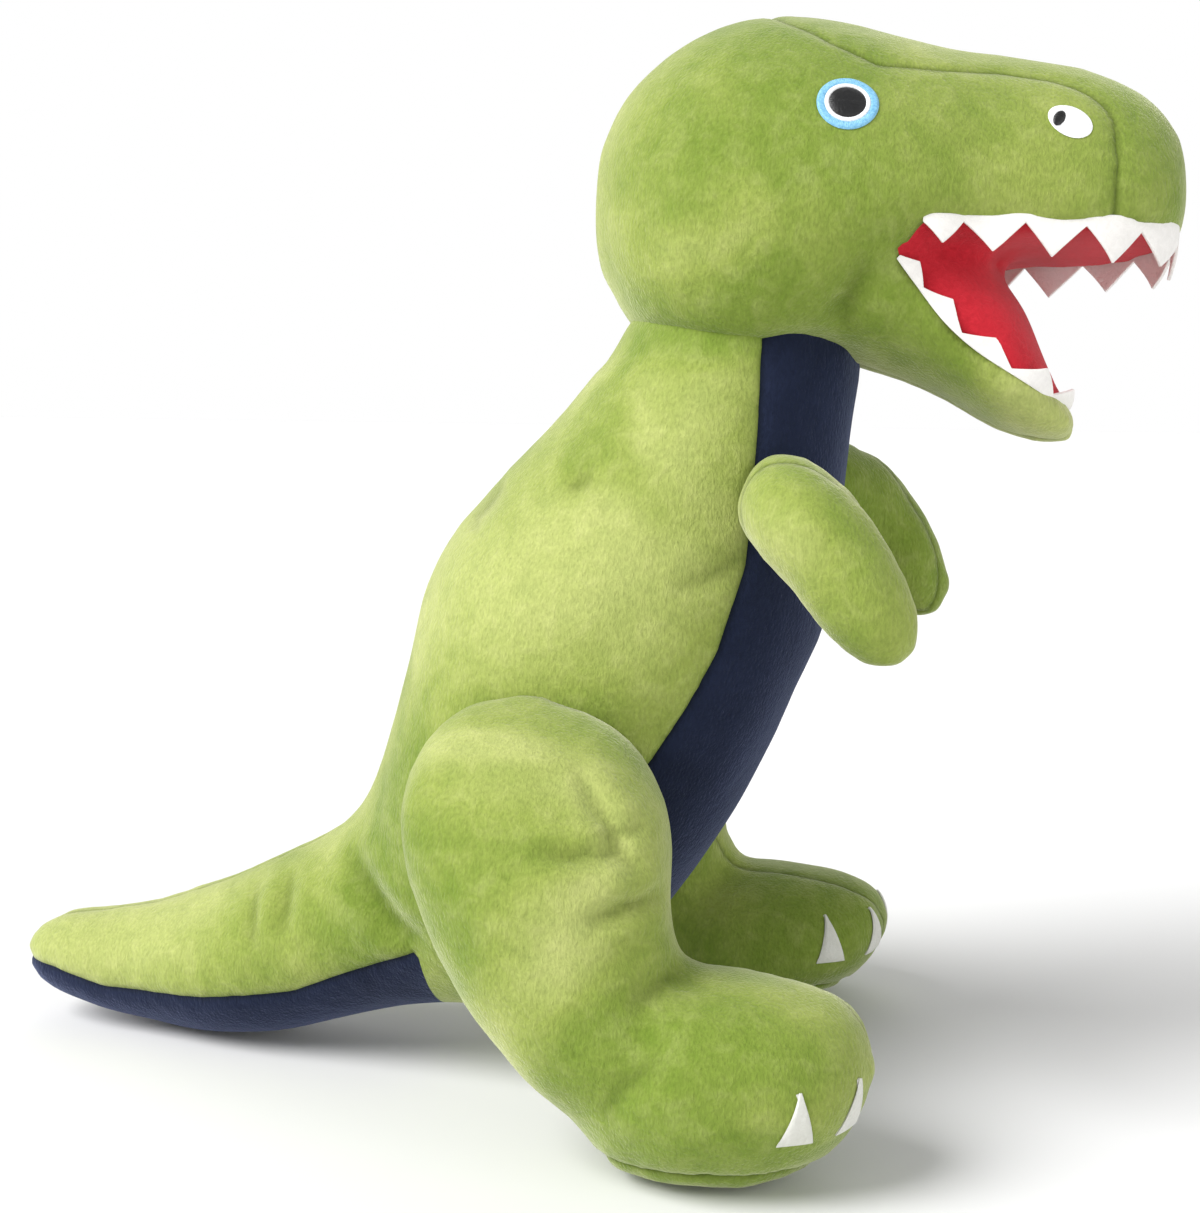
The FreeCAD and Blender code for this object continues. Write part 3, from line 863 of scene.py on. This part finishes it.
def build_head():
    item = volume("head", ("head_filling", "jaw_filling"), 0.0022, 0.0006)
    points = coordinates(item.data)
    corner = np.array([near_jowl(point) for point in points])
    set_coordinates(item.data, smoothed(item.data, points, 40, corner * 0.85))
    puff(item, held_at_seams(item, HEAD, head_score, 0.004), 0.0035)
    subdivided(item)
    lumps(item, ((0.0012, 0.05), (0.0005, 0.02)), 2)
    folds(item, CHEEK_FOLDS, "jaw_open")
    panels(item, HEAD, head_score)
    groove(item, seam_points(item, ((0, 2), (1, 2), (0, 1))), 0.0009, 0.0021, 0.0005)
    groove(item, seam_points(item, ((0, 3), (1, 3), (2, 3), (0, 4), (1, 4))), 0.0006, 0.002, 0.0004)
    points = coordinates(item.data)
    upper = [points[vertex] for vertex in seam_points(item, ((0, 3), (1, 3), (2, 3)))]
    lower = [points[vertex] for vertex in seam_points(item, ((0, 4), (1, 4)))]
    surface = surface_of(item.data)
    slots = {name: "red_felt" if "lining" in name else GREEN for name in HEAD}
    made = split(item, HEAD, slots)
    for name, piece in made.items():
        if name in ("head_top_gusset", "mouth_lining_upper"):
            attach(piece, "head")
        else:
            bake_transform(piece)
        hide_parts(name)
    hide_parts("chin_panel")
    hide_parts("head_filling")
    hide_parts("jaw_filling")

    def upper_angle(point):
        spot = in_head(point)
        return atan2(spot.y, spot.x - 0.122)

    def lower_angle(point):
        spot = in_jaw(point)
        return atan2(spot.y, spot.x - 0.022)

    line, length = ordered_loop([p for p in upper if in_head(p).x > 0.1145], upper_angle, 160, level=130)
    hang = ROLL @ Vector((0, 0, -1))
    centre = from_head((0.128, 0, HINGE.z))
    teeth = round(length / UPPER_TOOTH)
    strip = tooth_strip("upper_teeth_strip", line, hang, centre, teeth, 0.0102, 0.002, 0.0028)
    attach(strip, "head")
    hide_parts("upper_teeth_strip")
    line, length = ordered_loop([p for p in lower if in_jaw(p).x > 0.004], lower_angle, 160)
    stand = ROLL @ ABOVE
    middle = from_jaw((0.03, 0, -0.01))
    teeth = round(length / LOWER_TOOTH)
    strip = tooth_strip("lower_teeth_strip", line, stand, middle, teeth, 0.0058, 0.0011, 0)
    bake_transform(strip)
    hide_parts("lower_teeth_strip")
    return surface


def flat_out(point, centre, up):
    away = Vector(point) - centre
    away -= up * away.dot(up)
    return away.normalized()


# ---------------------------------------------------------------- embroidery

RINGS = 10


def patch_on(surface, name, centre, outward, turn, radii, inner, lift, threads, slot, crown=0.00055):
    """An embroidered ring or oval on the plush: its threads are ridges in the mesh."""
    side = (Vector((1, 0, 0)) - outward * outward.x).normalized()
    up = outward.cross(side)
    side, up = side * cos(turn) + up * sin(turn), up * cos(turn) - side * sin(turn)
    around = threads * 4
    work = bmesh.new()
    grid = []
    for ring in range(RINGS + 1):
        share = inner + (1 - inner) * ring / RINGS
        row = []
        for number in range(around):
            angle = 2 * pi * number / around
            wobble = 1 + 0.012 * noise.noise(Vector((number * 0.9, share, len(name))))
            across, over = radii[0] * share * cos(angle) * wobble, radii[1] * share * sin(angle) * wobble
            flat = side * across + up * over
            hit = surface.ray_cast(centre + flat + outward * 0.03, -outward)[0] or centre + flat
            if inner > 0:
                edge = (ring / RINGS - 0.5) * 2
                ridge = 0.5 + 0.5 * cos(number * pi / 2)
            else:
                edge = share
                ridge = 0.5 + 0.5 * cos(2 * pi * flat.dot(up) / 0.00075)
            dome = max(0.0, 1 - abs(edge) ** 4)
            row.append(work.verts.new(hit + outward * (lift + crown * dome + 0.00012 * ridge * dome)))
        grid.append(row)
    for first, second in zip(grid[:-1], grid[1:]):
        for number in range(around):
            after = (number + 1) % around
            work.faces.new((first[number], second[number], second[after], first[after]))
    if inner == 0:
        bmesh.ops.remove_doubles(work, verts=grid[0], dist=1e-4)
    mesh = bpy.data.meshes.new(name)
    work.to_mesh(mesh)
    work.free()
    piece = thickened(new_object(name + "_stitched", mesh), EMBROIDERY)
    finish_piece(piece, slot)
    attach(piece, "head")
    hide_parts(name)


def facing_out(side, lean):
    """Sideways and up by a lean in degrees, in the head's frame."""
    return (ROLL @ Vector((0, side * cos(radians(lean)), sin(radians(lean))))).normalized()


def middle_of(node):
    low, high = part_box(node)
    return (low + high) / 2


def build_face(surface):
    for name, side in SIDES:
        out = facing_out(side, 24)
        eye = middle_of("eye_pupil_" + name)
        patch_on(surface, "eye_ring_" + name, eye, out, 0, (0.0089, 0.0089), 0.72, 0.0003, 96, "blue_thread")
        patch_on(surface, "eye_white_" + name, eye, out, 0, (0.0067, 0.0067), 0.78, 0.0004, 80, "white_thread")
        patch_on(surface, "eye_pupil_" + name, eye, out, 0, (0.0055, 0.0055), 0, 0.0005, 60, "black_thread")
        out = facing_out(side, 25)
        turn = radians(22) * side
        patch = middle_of("nostril_patch_" + name)
        slit = middle_of("nostril_slit_" + name)
        patch_on(surface, "nostril_patch_" + name, patch, out, turn, (0.0066, 0.0051), 0, 0.0003, 60,
                 "white_thread")
        patch_on(surface, "nostril_slit_" + name, slit, out, turn, (0.0016, 0.0028), 0, 0.0009, 30,
                 "black_thread", crown=0.0004)


# ---------------------------------------------------------------- arms and legs

SOLE_TOP = 0.0082


def reached_in(points, side, kind):
    """Carry a limb's inner side into the body that it is sewn to, and flatten the top of a thigh."""
    if kind == "arm":
        shoulder = np.array((0.073, side * 0.058, 0.192))
        near = np.clip(1.35 - np.linalg.norm(points - shoulder, axis=1) / 0.028, 0, 1)
        points[:, 1] -= side * near * np.clip(0.078 - points[:, 1] * side, 0, 1) * 0.62
        return
    inner = side * 0.0635
    high = np.clip((points[:, 2] - 0.085) / 0.05, 0, 1)
    points[:, 1] = inner + (points[:, 1] - inner) * (1 - 0.42 * high ** 1.4)
    joined = np.clip((points[:, 2] - 0.058) / 0.03, 0, 1)
    points[:, 1] -= side * joined * np.clip(0.09 - points[:, 1] * side, 0, 1) * 0.72
    if side == 1:
        toe = np.clip((points[:, 0] - 0.015) / 0.02, 0, 1)
        points[:, 2] *= 1 - 0.22 * toe * np.clip(2.0 - points[:, 2] / 0.06, 0, 1)


def build_limb(kind, name, side, body):
    """An arm or a leg; each outer panel reaches a little past the middle, and past the top of the thigh."""
    labels = [f"{kind}_outer_panel_{name}", f"{kind}_inner_panel_{name}"]
    if kind == "leg":
        labels.append(f"foot_sole_{name}")

    def score(point):
        outer, inner = distance(labels[0], point), distance(labels[1], point)
        behind = 0.004 + (0.026 * min(max((point.z - 0.05) / 0.025, 0), 1) if kind == "leg" else 0)
        lead = outer - inner - behind
        row = {labels[0]: max(0, lead), labels[1]: max(0, -lead)}
        if kind == "leg":
            above = point.z - SOLE_TOP
            row[labels[2]] = max(0, above)
            row[labels[0]] += max(0, -above)
            row[labels[1]] += max(0, -above)
        return row

    item = volume(f"{kind}_{name}", (f"{kind}_filling_{name}",), 0.0016 if kind == "arm" else 0.0008)
    points = coordinates(item.data)
    reached_in(points, side, kind)
    set_coordinates(item.data, smoothed(item.data, points, 4) if kind == "arm" else points)
    puff(item, held_at_seams(item, labels, score, 0.003), 0.003)
    subdivided(item)
    lumps(item, ((0.0012, 0.035), (0.0005, 0.016)), 5 + side)
    if kind == "leg":
        folds(item, LEG_FOLDS, f"leg_{name}_swing", side)
    panels(item, labels, score)
    groove(item, seam_points(item, ((0, 1),)), 0.0006, 0.002, 0.0005)
    # Painted shade on the limb where it lies close against the body.
    gaps = np.array([body.find_nearest(Vector(point))[3] for point in coordinates(item.data)])
    shade(item, 0.9 * np.exp(-(gaps / 0.0022) ** 2))
    if kind == "leg":
        # The sole's seam gets the strongest painted shade.
        groove(item, seam_points(item, ((0, 2), (1, 2))), 0.0017, 0.0019, 0.0009, 1.0)
        grounded(item)
    surface = surface_of(item.data)
    made = split(item, labels, {label: GREEN for label in labels})
    for label, piece in made.items():
        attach(piece, f"{kind}_{name}")
        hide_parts(label)
    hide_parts(f"{kind}_filling_{name}")
    if kind == "leg":
        build_claws(surface, name)


CLAW_FOOT = 0.0205
CLAW_TIP = 0.0365
CLAW_ROWS = 12
CLAW_STEPS = 8


def build_claws(surface, name):
    """Four felt triangles sewn round the toe, point up."""
    low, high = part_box(f"foot_sole_{name}")
    claws_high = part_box(f"toe_claws_{name}")[1]
    centre = Vector((claws_high.x - 0.036, (low.y + high.y) / 2, 0))
    work = bmesh.new()
    for bearing in (-55, -20, 20, 55):
        angle = radians(bearing)
        outward = Vector((cos(angle), sin(angle), 0))
        across = Vector((-sin(angle), cos(angle), 0))
        grid = []
        for row in range(CLAW_ROWS + 1):
            share = row / CLAW_ROWS
            wide = 0.0051 * (1 - share) + 0.0003
            above = Vector((0, 0, CLAW_FOOT + (CLAW_TIP - CLAW_FOOT) * share))
            column = []
            for step in range(CLAW_STEPS + 1):
                spot = centre + across * (wide * (2 * step / CLAW_STEPS - 1)) + above
                hit = surface.ray_cast(spot + outward * 0.08, -outward)[0] or spot + outward * 0.03
                on_edge = row == 0 or step in (0, CLAW_STEPS)
                column.append(work.verts.new(hit + outward * (0.0005 if on_edge else 0.0011)))
            grid.append(column)
        for first, second in zip(grid[:-1], grid[1:]):
            for step in range(CLAW_STEPS):
                work.faces.new((first[step], first[step + 1], second[step + 1], second[step]))
    mesh = bpy.data.meshes.new(f"toe_claws_{name}")
    work.to_mesh(mesh)
    work.free()
    piece = thickened(new_object(f"toe_claws_{name}_felt", mesh), CLAW_FELT)
    finish_piece(piece, "claw_felt")
    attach(piece, f"leg_{name}")
    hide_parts(f"toe_claws_{name}")


# ---------------------------------------------------------------- stage

# Name, the way to the light, its spread in degrees and its power.
LIGHTS = (
    ("key", (-0.72, -0.5, 0.8), 38, 3.7),
    ("rim", (-0.2, 0.9, 0.7), 50, 0.5),
    ("fill", (0.75, -0.6, 0.25), 60, 0.7),
)


def build_stage():
    bpy.ops.mesh.primitive_plane_add(size=6, location=(0, 0, 0))
    floor = bpy.context.object
    floor.name = "floor"
    floor.data.materials.append(material("floor", Base_Color=(0.8, 0.8, 0.8, 1), Roughness=0.9)[0])

    world = bpy.data.worlds.new("studio")
    world.use_nodes = True
    tree = world.node_tree
    toward = tree.nodes.new("ShaderNodeTexCoord").outputs["Generated"]
    parts = tree.nodes.new("ShaderNodeSeparateXYZ")
    tree.links.new(toward, parts.inputs["Vector"])
    sky = ramp(tree, parts.outputs["Z"], ((0.0, (1, 1, 1)), (0.25, (1, 1, 1)), (0.6, (0.3, 0.3, 0.3))))
    tree.links.new(sky, tree.nodes["Background"].inputs["Color"])
    tree.nodes["Background"].inputs["Strength"].default_value = 1.0
    bpy.context.scene.world = world

    for name, toward, angle, power in LIGHTS:
        light = bpy.data.lights.new(name, "SUN")
        light.angle = radians(angle)
        light.energy = power
        item = bpy.data.objects.new(name, light)
        item.location = Vector(toward) * 2
        item.rotation_euler = Vector(toward).to_track_quat("Z", "Y").to_euler()
        bpy.context.scene.collection.objects.link(item)

    azimuth, elevation, far = radians(11), radians(8.5), 0.72
    back = Vector((sin(azimuth) * cos(elevation), -cos(azimuth) * cos(elevation), sin(elevation)))
    target = Vector((0.013, 0, 0.152))
    lens = bpy.data.cameras.new("camera")
    lens.lens = 66.8
    lens.sensor_width = 36
    camera = bpy.data.objects.new("camera", lens)
    camera.location = target + back * far
    camera.rotation_euler = back.to_track_quat("Z", "Y").to_euler()
    bpy.context.scene.collection.objects.link(camera)
    bpy.context.scene.camera = camera
    bpy.context.scene.view_settings.view_transform = "Standard"


build_stage()
body_surface = build_trunk()
head_surface = build_head()
build_face(head_surface)
for side_name, side_sign in SIDES:
    build_limb("arm", side_name, side_sign, body_surface)
    build_limb("leg", side_name, side_sign, body_surface)
